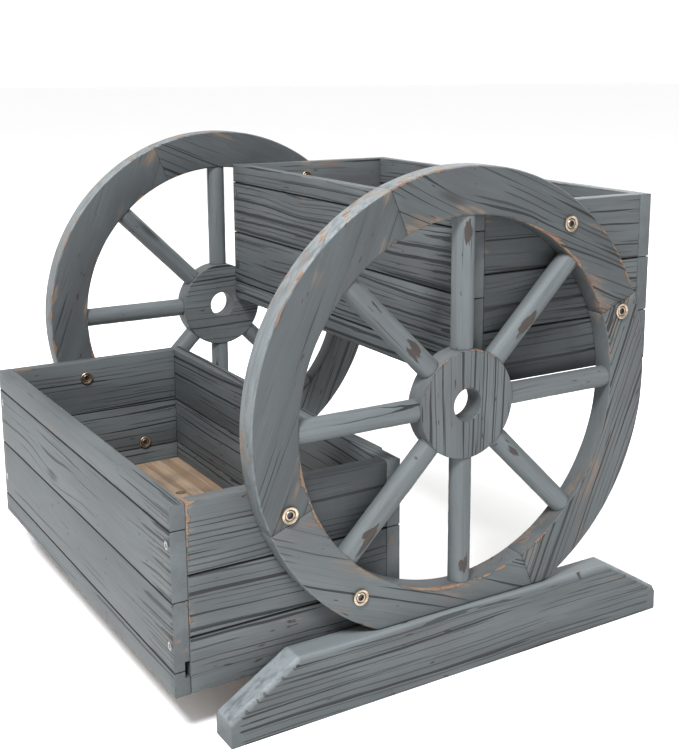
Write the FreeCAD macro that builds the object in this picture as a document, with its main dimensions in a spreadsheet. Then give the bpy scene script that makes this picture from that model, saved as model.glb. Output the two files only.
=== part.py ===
import FreeCAD, Part
import Sketcher
import math
import os
from FreeCAD import Placement, Rotation, Vector

# A two-tier wooden planter in the style of a cart, in millimetres. Two open boxes, one low in front and one high
# behind, hang between two wagon wheels, and each wheel stands on a runner.
# +X points to the right-hand wheel, -Y to the front (the low box), +Z up. The origin is on the ground at the
# middle of the overall footprint.

SIZES = {
    # the boxes
    "box_length": 524,
    "box_depth": 230,
    "box_height": 176,
    "wall_thickness": 15,
    "edge_break": 1.5,
    "lower_box_front": -270,
    "lower_box_bottom": 44,
    "upper_box_front": 39,
    "upper_box_bottom": 275,
    "front_narrow_board": 23.5,
    "end_bottom_board": 53,
    "end_middle_board": 57,
    "floor_thickness": 15,
    "floor_lift": 17,
    "groove_depth": 5,
    "drain_radius": 6,
    # the wheels
    "wheel_radius": 225,
    "wheel_thickness": 24,
    "wheel_centre_back": 20,
    "wheel_centre_height": 268,
    "rim_width": 46,
    "rim_edge_radius": 2,
    "hub_radius": 53,
    "hub_bore_radius": 15.5,
    "spoke_radius": 11,
    "hub_socket_depth": 17,
    "rim_socket_depth": 14,
    # the runners
    "runner_front": -233,
    "runner_length": 503,
    "runner_slope": 67,
    "runner_height": 66,
    "runner_end_height": 25,
    "runner_thickness": 32,
    "runner_edge_radius": 4,
    # connector bolts with their cap nuts
    "bolt_circle_radius": 202,
    "bolt_radius": 3,
    "bolt_clearance_radius": 3.25,
    "bolt_length": 34,
    "bolt_head_radius": 8,
    "bolt_head_height": 2.5,
    "hex_socket_radius": 2.9,
    "hex_socket_depth": 1.8,
    "nut_head_radius": 7.5,
    "nut_head_height": 2.5,
    "nut_sleeve_radius": 4.5,
    "nut_sleeve_length": 12,
    # wood screws
    "screw_radius": 2,
    "screw_head_radius": 4,
    "screw_length": 40,
    "screw_end_inset": 9,
    "screw_low": 46,
    "screw_high": 138,
    "runner_screw_offset": 50,
    "counterbore_radius": 5.5,
    "counterbore_depth": 48,
}
SPOKES = 8
FELLOES = ("rear_top", "front_top", "front_bottom", "rear_bottom")
FIRST_JOINT_ANGLE = 22.5
FELLOE_ANGLE = 360 / len(FELLOES)
BOLT_ANGLES = (20, 54, 200, 234)
DRAINS_LONG = 2
DRAINS_DEEP = 2
ALONG_X = Vector(1, 0, 0)
ALONG_Z = Vector(0, 0, 1)

document = FreeCAD.newDocument("planter")
sheet = document.addObject("Spreadsheet::Sheet", "sizes")
for row, (alias, value) in enumerate(SIZES.items(), start=1):
    sheet.set("A%d" % row, alias)
    sheet.set("B%d" % row, str(value))
    sheet.setAlias("B%d" % row, alias)
document.recompute()

pieces = []


def bound(expression):
    """Write every size's name in an expression as the sheet's cell."""
    words = sorted(SIZES, key=len, reverse=True)
    text = str(expression)
    for index, word in enumerate(words):
        text = text.replace(word, "@%d@" % index)
    for index, word in enumerate(words):
        text = text.replace("@%d@" % index, "sizes." + word)
    return text


def value_of(expression):
    """The number that an expression of the sheet's sizes comes to."""
    return float(sheet.evalExpression(bound(expression)))


def bind(item, **properties):
    """Bind an object's properties to expressions of the sheet's sizes."""
    for name, expression in properties.items():
        item.setExpression(name, bound(expression))


def move_to(item, place, rotation=Rotation()):
    """Turn an object, then bind where its origin lies."""
    item.Placement = Placement(Vector(*[value_of(along) for along in place]), rotation)
    for axis, along in zip("xyz", place):
        item.setExpression("Placement.Base." + axis, bound(along))


def finish(item, label):
    """Name a sub-part and keep it for export."""
    item.Label = label
    pieces.append(item)


# ---------------------------------------------------------------- Part primitives and booleans


def cylinder(name, radius, length, place=("0", "0", "0"), rotation=Rotation(), sweep=360):
    item = document.addObject("Part::Cylinder", name)
    bind(item, Radius=radius, Height=length)
    item.Angle = sweep
    move_to(item, place, rotation)
    return item


def cut(name, base, tools):
    """Cut one object, or several fused first, out of a base."""
    tool = tools[0]
    if len(tools) > 1:
        tool = document.addObject("Part::MultiFuse", name + "_tools")
        tool.Shapes = tools
    item = document.addObject("Part::Cut", name)
    item.Base = base
    item.Tool = tool
    return item


def group(name, items):
    """One node of separate, identical fasteners."""
    item = document.addObject("Part::Compound", name)
    item.Links = items
    finish(item, name)


# ---------------------------------------------------------------- PartDesign bodies


def new_sketch(body, role, name, lift="0"):
    """A sketch on one of the body's own origin planes, raised along its normal."""
    plane = [item for item in body.Origin.OriginFeatures if item.Role == role][0]
    sketch = body.newObject("Sketcher::SketchObject", name)
    sketch.AttachmentSupport = [(plane, "")]
    sketch.MapMode = "FlatFace"
    sketch.AttachmentOffset = Placement(Vector(0, 0, value_of(lift)), Rotation())
    sketch.setExpression("AttachmentOffset.Base.z", bound(lift))
    return sketch


def pin_point(sketch, geometry, point, along, up):
    """Fix a point of a sketch by two bound distances from the origin."""
    for kind, axis, expression in (("DistanceX", -2, along), ("DistanceY", -1, up)):
        if expression == "0":
            sketch.addConstraint(Sketcher.Constraint("PointOnObject", geometry, point, axis))
            continue
        distance = value_of(expression)
        index = sketch.addConstraint(Sketcher.Constraint(kind, -1, 1, geometry, point, distance))
        sketch.setExpression("Constraints[%d]" % index, bound(expression))


def outline(sketch, corners):
    """A closed outline of straight lines through corners given as expressions."""
    points = [Vector(value_of(along), value_of(up), 0) for along, up in corners]
    count = len(points)
    for index in range(count):
        sketch.addGeometry(Part.LineSegment(points[index], points[(index + 1) % count]), False)
    for index in range(count):
        sketch.addConstraint(Sketcher.Constraint("Coincident", index, 2, (index + 1) % count, 1))
    for index, (along, up) in enumerate(corners):
        pin_point(sketch, index, 1, along, up)


def circles(sketch, centres, radius):
    """Equal circles at centres given as expressions."""
    for index, (along, up) in enumerate(centres):
        middle = Vector(value_of(along), value_of(up), 0)
        sketch.addGeometry(Part.Circle(middle, ALONG_Z, value_of(radius)), False)
        pin_point(sketch, index, 3, along, up)
        constraint = sketch.addConstraint(Sketcher.Constraint("Radius", index, value_of(radius)))
        sketch.setExpression("Constraints[%d]" % constraint, bound(radius))


def pad(body, sketch, length):
    feature = body.newObject("PartDesign::Pad", body.Name + "_pad")
    feature.Profile = sketch
    bind(feature, Length=length)
    document.recompute()


def bore(body, role, centres, radius, depth, toward_normal, lift="0"):
    """Round holes from one of the body's planes, checked by the volume they take out."""
    before = body.Shape.Volume
    number = len(body.Group)
    sketch = new_sketch(body, role, "%s_holes_%d" % (body.Name, number), lift)
    circles(sketch, centres, radius)
    feature = body.newObject("PartDesign::Pocket", "%s_bore_%d" % (body.Name, number))
    feature.Profile = sketch
    feature.Reversed = toward_normal
    bind(feature, Length=depth)
    document.recompute()
    taken = before - body.Shape.Volume
    if taken < 1:
        raise RuntimeError("a hole cuts nothing in " + body.Name)


def countersink(body, plane_axis, level):
    """Open the screw holes' edges at one level to the width of a screw's head."""
    edges = []
    for index, edge in enumerate(body.Tip.Shape.Edges, start=1):
        curve = edge.Curve
        if not isinstance(curve, Part.Circle):
            continue
        small = abs(curve.Radius - value_of("screw_radius")) < 0.01
        if small and abs(curve.Center[plane_axis] - value_of(level)) < 0.01:
            edges.append("Edge%d" % index)
    base = body.Tip
    feature = body.newObject("PartDesign::Chamfer", body.Name + "_countersink")
    feature.Base = (base, edges)
    bind(feature, Size="screw_head_radius - screw_radius - 0.05")
    document.recompute()


# ---------------------------------------------------------------- the boxes


def plain_board(height):
    """A board's section, from its outer face, with both outer edges broken."""
    return [
        ("0", "edge_break"),
        ("edge_break", "0"),
        ("wall_thickness", "0"),
        ("wall_thickness", height),
        ("edge_break", height),
        ("0", "%s - edge_break" % height),
    ]


def board_under_groove(height):
    """The lowest board of a long wall, rabbeted at the top of its inner face for the floor."""
    return [
        ("0", "edge_break"),
        ("edge_break", "0"),
        ("wall_thickness", "0"),
        ("wall_thickness", "floor_lift"),
        ("wall_thickness - groove_depth", "floor_lift"),
        ("wall_thickness - groove_depth", height),
        ("edge_break", height),
        ("0", "%s - edge_break" % height),
    ]


def board_over_groove(height, below):
    """The board above it, rabbeted at the bottom of its inner face."""
    return [
        ("0", "edge_break"),
        ("edge_break", "0"),
        ("wall_thickness - groove_depth", "0"),
        ("wall_thickness - groove_depth", "floor_lift + floor_thickness - %s" % below),
        ("wall_thickness", "floor_lift + floor_thickness - %s" % below),
        ("wall_thickness", height),
        ("edge_break", height),
        ("0", "%s - edge_break" % height),
    ]


def grooved_board(height):
    """A wide lowest board with the floor's groove inside its height."""
    return [
        ("0", "edge_break"),
        ("edge_break", "0"),
        ("wall_thickness", "0"),
        ("wall_thickness", "floor_lift"),
        ("wall_thickness - groove_depth", "floor_lift"),
        ("wall_thickness - groove_depth", "floor_lift + floor_thickness"),
        ("wall_thickness", "floor_lift + floor_thickness"),
        ("wall_thickness", height),
        ("edge_break", height),
        ("0", "%s - edge_break" % height),
    ]


def board(label, section, length, place, yaw):
    """A board along its own +X, with its outer face on its own Y = 0, turned by yaw about Z."""
    body = document.addObject("PartDesign::Body", label)
    sketch = new_sketch(body, "YZ_Plane", label + "_section")
    outline(sketch, section)
    pad(body, sketch, length)
    move_to(body, place, Rotation(ALONG_Z, yaw))
    finish(body, label)
    return body


def long_wall(box, side, boards, place, yaw):
    """The boards of a front or rear wall, which covers the ends of the end walls."""
    across, depth, bottom = place
    for name, section, low, screw_level in boards:
        level = "%s + %s" % (bottom, low)
        body = board("%s_%s_board_%s" % (box, side, name), section, "box_length", (across, depth, level), yaw)
        if screw_level is None:
            continue
        height = "%s - (%s)" % (screw_level, low)
        centres = [("screw_end_inset", height), ("box_length - screw_end_inset", height)]
        bore(body, "XZ_Plane", centres, "screw_radius", "wall_thickness", False)
        countersink(body, 1, "0")


def end_wall(box, side, place, yaw, bolt_spots):
    """The three boards of an end wall, between the long walls, with holes for screws and cap nuts."""
    across, front, bottom = place
    length = "box_depth - 2 * wall_thickness"
    top_low = "end_bottom_board + end_middle_board"
    top_height = "box_height - end_bottom_board - end_middle_board"
    screw_depth = "screw_length - wall_thickness"
    rows = (
        ("bottom", "end_bottom_board", "0", "screw_low", []),
        ("middle", "end_middle_board", "end_bottom_board", None, bolt_spots[:1]),
        ("top", top_height, top_low, "screw_high", bolt_spots[1:]),
    )
    for name, height, low, screw_level, bolts in rows:
        level = "%s + %s" % (bottom, low)
        label = "%s_%s_end_board_%s" % (box, side, name)
        body = board(label, plain_board(height), length, (across, front, level), yaw)
        if screw_level is not None:
            centres = [("screw_end_inset", "%s - (%s)" % (screw_level, low))]
            bore(body, "YZ_Plane", centres, "screw_radius", screw_depth, True)
            bore(body, "YZ_Plane", centres, "screw_radius", screw_depth, False, length)
        for along, up in bolts:
            centres = [(along, "%s - (%s)" % (up, low))]
            bore(body, "XZ_Plane", centres, "nut_sleeve_radius", "wall_thickness", False)


def bolt_place(angle):
    """A connector bolt's place on its circle: how far back, and how high."""
    back = "wheel_centre_back + bolt_circle_radius * cos(%g deg)" % angle
    up = "wheel_centre_height + bolt_circle_radius * sin(%g deg)" % angle
    return back, up


def floor_panel(box, front, bottom):
    """The floor, let into the grooves of the long walls, with drain holes."""
    label = box + "_floor"
    body = document.addObject("PartDesign::Body", label)
    sketch = new_sketch(body, "XY_Plane", label + "_section")
    length = "box_length - 2 * wall_thickness"
    depth = "box_depth - 2 * wall_thickness + 2 * groove_depth"
    outline(sketch, [("0", "0"), (length, "0"), (length, depth), ("0", depth)])
    pad(body, sketch, "floor_thickness")
    centres = []
    for column in range(DRAINS_LONG):
        for line in range(DRAINS_DEEP):
            along = "(%s) * %g" % (length, (column + 0.5) / DRAINS_LONG)
            back = "(%s) * %g" % (depth, (line + 0.5) / DRAINS_DEEP)
            centres.append((along, back))
    bore(body, "XY_Plane", centres, "drain_radius", "floor_thickness", True)
    place = (
        "wall_thickness - box_length / 2",
        "%s + wall_thickness - groove_depth" % front,
        "%s + floor_lift" % bottom,
    )
    move_to(body, place)
    finish(body, label)


def planter_box(box, front, bottom, bolt_angles):
    half = "box_length / 2"
    rear = "%s + box_depth" % front
    narrow = "front_narrow_board"
    wide = "(box_height / 2 - front_narrow_board)"
    front_boards = (
        ("bottom", board_under_groove(narrow), "0", None),
        ("lower", board_over_groove(wide, narrow), narrow, "screw_low"),
        ("upper", plain_board(wide), "box_height / 2", "screw_high"),
        ("top", plain_board(narrow), "box_height - front_narrow_board", None),
    )
    top_height = "(box_height - end_bottom_board - end_middle_board)"
    rear_boards = (
        ("bottom", grooved_board("end_bottom_board"), "0", "screw_low"),
        ("middle", plain_board("end_middle_board"), "end_bottom_board", None),
        ("top", plain_board(top_height), "end_bottom_board + end_middle_board", "screw_high"),
    )
    long_wall(box, "front", front_boards, ("-box_length / 2", front, bottom), 0)
    long_wall(box, "rear", rear_boards, (half, rear, bottom), 180)
    inner_front = "%s + wall_thickness" % front
    inner_rear = "%s - wall_thickness" % rear
    right_spots = []
    left_spots = []
    for back, up in sorted([bolt_place(angle) for angle in bolt_angles], key=lambda spot: value_of(spot[1])):
        height = "%s - (%s)" % (up, bottom)
        right_spots.append(("%s - (%s)" % (back, inner_front), height))
        left_spots.append(("%s - (%s)" % (inner_rear, back), height))
    end_wall(box, "right", (half, inner_front, bottom), 90, right_spots)
    end_wall(box, "left", ("-box_length / 2", inner_rear, bottom), -90, left_spots)
    floor_panel(box, front, bottom)


# ---------------------------------------------------------------- the wheels


def wheel_turn(angle):
    """Local Z along the axle, local X out from the hub at an angle from +Y towards +Z."""
    turn = math.radians(angle)
    outward = Vector(0, math.cos(turn), math.sin(turn))
    onward = Vector(0, -math.sin(turn), math.cos(turn))
    return Rotation(outward, onward, ALONG_X, "XYZ")


def along_spoke(angle):
    """Local Z out from the hub at an angle from +Y towards +Z."""
    turn = math.radians(angle)
    return Rotation(ALONG_Z, Vector(0, math.cos(turn), math.sin(turn)))


def from_hub(distance, angle, inner_face):
    """A point in the wheel's middle plane, at a distance from the axle."""
    return (
        "%s + wheel_thickness / 2" % inner_face,
        "wheel_centre_back + (%s) * cos(%g deg)" % (distance, angle),
        "wheel_centre_height + (%s) * sin(%g deg)" % (distance, angle),
    )


def round_rim_edges(label, blank):
    """Round the long outer edges of a felloe, those as far from the axle as the tread."""
    rounded = document.addObject("Part::Fillet", label + "_rounded")
    rounded.Base = blank
    radius = value_of("rim_edge_radius")
    edges = []
    for index, edge in enumerate(blank.Shape.Edges, start=1):
        curve = edge.Curve
        if isinstance(curve, Part.Circle) and curve.Radius > value_of("wheel_radius - rim_width") - 0.01:
            edges.append((index, radius, radius))
    rounded.Edges = edges
    return rounded


def felloe(side, name, start, inner_face, bolts):
    """A quarter of the rim, with its two spoke sockets and the bolt holes that fall in it."""
    label = "%s_felloe_%s" % (side, name)
    place = (inner_face, "wheel_centre_back", "wheel_centre_height")
    turn = wheel_turn(start)
    sector = cylinder(label + "_sector", "wheel_radius", "wheel_thickness", place, turn, FELLOE_ANGLE)
    inside = cylinder(label + "_inside", "wheel_radius - rim_width", "wheel_thickness", place, turn)
    blank = cut(label + "_blank", sector, [inside])
    document.recompute()
    rounded = round_rim_edges(label, blank)
    tools = []
    for spoke in range(SPOKES):
        angle = spoke * 360 / SPOKES
        if not start < (angle if angle > start else angle + 360) < start + FELLOE_ANGLE:
            continue
        socket_place = from_hub("wheel_radius - rim_width - rim_socket_depth", angle, inner_face)
        socket_name = "%s_socket_%d" % (label, spoke + 1)
        socket_length = "rim_socket_depth * 2"
        tools.append(cylinder(socket_name, "spoke_radius", socket_length, socket_place, along_spoke(angle)))
    for angle in bolts:
        if start < (angle if angle > start else angle + 360) < start + FELLOE_ANGLE:
            back, up = bolt_place(angle)
            hole_name = "%s_bolt_hole_%g" % (label, angle)
            hole_place = (inner_face, back, up)
            tools.append(cylinder(hole_name, "bolt_clearance_radius", "wheel_thickness", hole_place, wheel_turn(0)))
    ground = document.addObject("Part::Box", label + "_flat")
    bind(ground, Length="wheel_thickness", Width="wheel_radius * 2", Height="runner_height")
    move_to(ground, (inner_face, "wheel_centre_back - wheel_radius", "0"))
    tools.append(ground)
    if name == "front_bottom":
        for sign in (-1, 1):
            middle = "%s + wheel_thickness / 2" % inner_face
            hole_place = (middle, "wheel_centre_back + %d * runner_screw_offset" % sign, "counterbore_depth")
            hole_name = "%s_screw_hole_%d" % (label, sign + 2)
            tools.append(cylinder(hole_name, "screw_radius", "screw_length", hole_place))
    finish(cut(label, rounded, tools), label)


def hub_and_spokes(side, inner_face):
    """A turned disc with a plain bore, and round spokes glued into it."""
    place = (inner_face, "wheel_centre_back", "wheel_centre_height")
    disc = cylinder(side + "_hub_disc", "hub_radius", "wheel_thickness", place, wheel_turn(0))
    tools = [cylinder(side + "_hub_bore", "hub_bore_radius", "wheel_thickness", place, wheel_turn(0))]
    inner_end = "hub_radius - hub_socket_depth"
    length = "wheel_radius - rim_width + rim_socket_depth - (hub_radius - hub_socket_depth)"
    for number in range(SPOKES):
        angle = number * 360 / SPOKES
        start = from_hub(inner_end, angle, inner_face)
        socket_name = "%s_hub_socket_%d" % (side, number + 1)
        tools.append(cylinder(socket_name, "spoke_radius", "hub_socket_depth * 2", start, along_spoke(angle)))
        label = "%s_spoke_%d" % (side, number + 1)
        finish(cylinder(label, "spoke_radius", length, start, along_spoke(angle)), label)
    finish(cut(side + "_hub", disc, tools), side + "_hub")


def wheel(side, inner_face):
    for index, name in enumerate(FELLOES):
        felloe(side, name, FIRST_JOINT_ANGLE + index * FELLOE_ANGLE, inner_face, BOLT_ANGLES)
    hub_and_spokes(side, inner_face)


# ---------------------------------------------------------------- the runners


def runner(side, inner_face):
    """A long board on edge with sloped ends, and two counterbored screw holes from below."""
    label = side + "_runner"
    body = document.addObject("PartDesign::Body", label)
    sketch = new_sketch(body, "YZ_Plane", label + "_section")
    outline(sketch, [
        ("0", "0"),
        ("runner_length", "0"),
        ("runner_length", "runner_end_height"),
        ("runner_length - runner_slope", "runner_height"),
        ("runner_slope", "runner_height"),
        ("0", "runner_end_height"),
    ])
    pad(body, sketch, "runner_thickness")
    low = value_of("runner_end_height") - 0.01
    edges = []
    for index, edge in enumerate(body.Tip.Shape.Edges, start=1):
        box = edge.BoundBox
        if box.ZMin > low and box.XLength < 0.01:
            edges.append("Edge%d" % index)
    base = body.Tip
    fillet = body.newObject("PartDesign::Fillet", label + "_edges")
    fillet.Base = (base, edges)
    bind(fillet, Radius="runner_edge_radius")
    document.recompute()
    across = "wheel_thickness / 2"
    if side == "left":
        across = "runner_thickness - wheel_thickness / 2"
    centres = []
    for sign in (-1, 1):
        centres.append((across, "wheel_centre_back - runner_front + %d * runner_screw_offset" % sign))
    bore(body, "XY_Plane", centres, "counterbore_radius", "counterbore_depth", True)
    bore(body, "XY_Plane", centres, "screw_radius", "runner_height", True)
    countersink(body, 2, "counterbore_depth")
    move_to(body, (inner_face, "runner_front", "0"))
    finish(body, label)


# ---------------------------------------------------------------- the fasteners


def screw(name, place, rotation):
    """A countersunk wood screw. Its head's flat face is at the local origin, and it points along local Z."""
    head = document.addObject("Part::Cone", name + "_head")
    bind(head, Radius1="screw_head_radius - 0.05", Radius2="screw_radius")
    bind(head, Height="screw_head_radius - screw_radius - 0.05")
    shank = cylinder(name + "_shank", "screw_radius", "screw_length")
    item = document.addObject("Part::Fuse", name)
    item.Base = head
    item.Tool = shank
    move_to(item, place, rotation)
    return item


def wood_screws():
    """Screws through the long walls into the end walls, and up through the runners into the wheels."""
    items = []
    backward = Rotation(ALONG_Z, Vector(0, 1, 0))
    forward = Rotation(ALONG_Z, Vector(0, -1, 0))
    for box in ("lower", "upper"):
        front = "%s_box_front" % box
        walls = ((front, backward), ("%s + box_depth" % front, forward))
        for back, rotation in walls:
            for sign in (-1, 1):
                for level in ("screw_low", "screw_high"):
                    across = "%d * (box_length / 2 - screw_end_inset)" % sign
                    place = (across, back, "%s_box_bottom + %s" % (box, level))
                    items.append(screw("screw_%d" % (len(items) + 1), place, rotation))
    for side in (-1, 1):
        across = "%d * (box_length + wheel_thickness) / 2" % side
        for sign in (-1, 1):
            back = "wheel_centre_back + %d * runner_screw_offset" % sign
            items.append(screw("screw_%d" % (len(items) + 1), (across, back, "counterbore_depth"), Rotation()))
    group("wood_screws", items)


def connector_bolt(name, place, rotation):
    """A bolt with a flat round head and a hex socket. Its head's seat is at the local origin."""
    head = cylinder(name + "_head", "bolt_head_radius", "bolt_head_height", ("0", "0", "-bolt_head_height"))
    shank = cylinder(name + "_shank", "bolt_radius", "bolt_length")
    solid = document.addObject("Part::Fuse", name + "_solid")
    solid.Base = head
    solid.Tool = shank
    socket = document.addObject("Part::Prism", name + "_socket")
    socket.Polygon = 6
    bind(socket, Circumradius="hex_socket_radius", Height="hex_socket_depth")
    move_to(socket, ("0", "0", "-bolt_head_height"))
    item = cut(name, solid, [socket])
    move_to(item, place, rotation)
    return item


def cap_nut(name, place, rotation):
    """A flat-headed sleeve nut. Its head's seat is at the local origin, and its sleeve points along local Z."""
    head = cylinder(name + "_head", "nut_head_radius", "nut_head_height", ("0", "0", "-nut_head_height"))
    sleeve = cylinder(name + "_sleeve", "nut_sleeve_radius", "nut_sleeve_length")
    solid = document.addObject("Part::Fuse", name + "_solid")
    solid.Base = head
    solid.Tool = sleeve
    thread = cylinder(name + "_thread", "bolt_radius", "nut_sleeve_length", ("0", "0", "1"))
    item = cut(name, solid, [thread])
    move_to(item, place, rotation)
    return item


def bolts_and_nuts():
    """Bolts through each rim into the end walls, and their nuts inside the boxes."""
    bolts = []
    nuts = []
    for sign in (-1, 1):
        inward = Rotation(ALONG_Z, Vector(-sign, 0, 0))
        outward = Rotation(ALONG_Z, Vector(sign, 0, 0))
        for angle in BOLT_ANGLES:
            back, up = bolt_place(angle)
            number = len(bolts) + 1
            outer = "%d * (box_length / 2 + wheel_thickness)" % sign
            inner = "%d * (box_length / 2 - wall_thickness)" % sign
            bolts.append(connector_bolt("bolt_%d" % number, (outer, back, up), inward))
            nuts.append(cap_nut("nut_%d" % number, (inner, back, up), outward))
    group("connector_bolts", bolts)
    group("cap_nuts", nuts)


planter_box("lower", "lower_box_front", "lower_box_bottom", BOLT_ANGLES[2:])
planter_box("upper", "upper_box_front", "upper_box_bottom", BOLT_ANGLES[:2])
wheel("right", "box_length / 2")
wheel("left", "-box_length / 2 - wheel_thickness")
runner("right", "box_length / 2")
runner("left", "-box_length / 2 - runner_thickness")
wood_screws()
bolts_and_nuts()
document.recompute()

for item in document.Objects:
    if "Invalid" in item.State or "Error" in item.State:
        raise RuntimeError("%s did not compute: %s" % (item.Name, item.State))
for piece in pieces:
    if piece.Shape.isNull() or not piece.Shape.isValid():
        raise RuntimeError("%s has no valid shape" % piece.Label)

os.makedirs("parts", exist_ok=True)
for piece in pieces:
    piece.Shape.exportStep("parts/%s.step" % piece.Label)
print(len(pieces), "sub-parts written")
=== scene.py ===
import math
import random

import bmesh
import bpy
from mathutils import Matrix, Vector, noise


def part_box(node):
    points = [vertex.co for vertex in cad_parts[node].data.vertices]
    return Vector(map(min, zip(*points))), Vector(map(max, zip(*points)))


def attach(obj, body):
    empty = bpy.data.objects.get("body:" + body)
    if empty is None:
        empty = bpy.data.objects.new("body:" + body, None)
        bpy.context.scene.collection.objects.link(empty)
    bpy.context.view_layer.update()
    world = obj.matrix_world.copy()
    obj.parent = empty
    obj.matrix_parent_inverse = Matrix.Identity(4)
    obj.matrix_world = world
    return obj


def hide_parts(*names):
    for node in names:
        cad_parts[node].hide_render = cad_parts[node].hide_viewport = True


# A two-tier flower planter of painted softwood: two slatted boxes between two wagon wheels on runners.
# Metres, with +X to the right-hand wheel, -Y to the front and +Z up.

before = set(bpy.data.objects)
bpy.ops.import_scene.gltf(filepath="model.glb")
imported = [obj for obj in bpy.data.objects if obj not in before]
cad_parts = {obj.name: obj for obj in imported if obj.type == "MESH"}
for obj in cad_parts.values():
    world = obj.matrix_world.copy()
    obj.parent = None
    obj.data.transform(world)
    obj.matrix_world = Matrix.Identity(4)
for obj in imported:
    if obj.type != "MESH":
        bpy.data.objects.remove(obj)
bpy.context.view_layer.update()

MM = 0.001
RIGHT = Vector((1, 0, 0))
BACK = Vector((0, 1, 0))
UP = Vector((0, 0, 1))


# ---------------------------------------------------------------- sizes read from the frame


def middle_of(node):
    low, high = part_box(node)
    return (low + high) / 2


def size_of(node):
    low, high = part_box(node)
    return high - low


def solids_of(node):
    """The boxes of a node's separate solids, as pairs of corners."""
    form = bmesh.new()
    form.from_mesh(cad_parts[node].data)
    bmesh.ops.remove_doubles(form, verts=form.verts, dist=0.01 * MM)
    left = set(form.verts)
    boxes = []
    while left:
        fresh = [left.pop()]
        low, high = fresh[0].co.copy(), fresh[0].co.copy()
        while fresh:
            vert = fresh.pop()
            low = Vector(map(min, low, vert.co))
            high = Vector(map(max, high, vert.co))
            for edge in vert.link_edges:
                other = edge.other_vert(vert)
                if other in left:
                    left.remove(other)
                    fresh.append(other)
        boxes.append((low, high))
    form.free()
    return sorted(boxes, key=lambda pair: tuple(round(value, 5) for value in pair[0]))


SPOKES = 8
FELLOES = ("rear_top", "front_top", "front_bottom", "rear_bottom")
FIRST_JOINT = math.radians(22.5)
FELLOE_TURN = math.tau / len(FELLOES)
HUB_CENTRE = middle_of("right_hub")
WHEEL_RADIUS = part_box("right_felloe_rear_top")[1].z - HUB_CENTRE.z
RIM_INSIDE = (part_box("right_felloe_rear_top")[0].z - HUB_CENTRE.z) / math.sin(FIRST_JOINT)
WHEEL_THICKNESS = size_of("right_hub").x
HUB_RADIUS = size_of("right_hub").z / 2
HUB_BORE = 15.5 * MM
SPOKE_RADIUS = size_of("right_spoke_3").x / 2
RUNNER_TOP = size_of("right_runner").z
RUNNER_SLOPE = 67 * MM
RUNNER_END_HEIGHT = 25 * MM
COUNTERBORE = 5.5 * MM


# How lively the grain is: from -1, plain, through 0, a few lines, to 1 and over, many.
FELLOE_FIGURE = (0.26, 0.10, 0.12, 0.60)
UPPER_FRONT_FIGURE = 0.74
LOWER_FRONT_FIGURE = 0.14
REAR_FIGURE = 0.45
END_WALL_FIGURE = 0.38
HUB_FIGURE = 0.54
RUNNER_FIGURE = 0.66
SMOOTH_FIGURE = -0.5
PLAIN = -1.0

# Where each spoke's paint is chipped, as distances from the wheel's middle.
SPOKE_CHIPS = {1: (), 2: (0.10,), 3: (0.165,), 4: (0.085, 0.15), 5: (), 6: (0.155,), 7: (0.158,), 8: (0.075,)}


# ---------------------------------------------------------------- finishes


PAINT_DARK = (0.049, 0.055, 0.058)
PAINT_LIGHT = (0.073, 0.083, 0.087)
PAINT_PURPLE = (0.061, 0.060, 0.067)
# Paler paint: sanded wear, and painted highlight on the tread's upper front and on the runners' tops and
# chamfers.
PAINT_SANDED_AND_HIGHLIT = (0.157, 0.178, 0.189)
PAINT_FIBRE = (0.028, 0.031, 0.034)
PAINT_RUBBED = (0.112, 0.124, 0.128)
# Darker paint: the painted shadow of each wheel on its end walls, and the darker faces of the top felloes.
PAINT_SHADOW_AND_DARKER = (0.022, 0.025, 0.028)
WOOD_TAN = (0.152, 0.108, 0.075)
WOOD_ORANGE = (0.128, 0.076, 0.050)
WOOD_DARK = (0.056, 0.038, 0.030)
CHIP_BROWN = (0.036, 0.028, 0.025)
CHIP_DARK = (0.026, 0.021, 0.019)
CHIP_SHADE = (0.021, 0.020, 0.020)
LINE_DARK = (0.009, 0.010, 0.011)
# Painted shade in the gaps between boards and between felloes, and where spokes meet hub and rim.
JOINT_SHADE = (0.008, 0.009, 0.010)
FLOOR_PALE = (0.21, 0.15, 0.10)
FLOOR_RING = (0.13, 0.085, 0.052)
FLOOR_FIBRE = (0.065, 0.045, 0.032)
FLOOR_DAMP = (0.045, 0.036, 0.030)
# Dark tarnish in the fasteners' hollows, and painted shade under the bolt heads and round the screw heads.
METAL_DIRT_AND_SHADE = (0.010, 0.009, 0.009)
BRONZE_TONES = ((0.47, 0.38, 0.29), (0.24, 0.19, 0.14), (0.05, 0.04, 0.03))
ZINC_TONES = ((0.30, 0.31, 0.30), (0.14, 0.15, 0.15), (0.05, 0.05, 0.05))
GROUND_TONES = ((0.93, 0.93, 0.93), (0.95, 0.95, 0.95))


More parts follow.
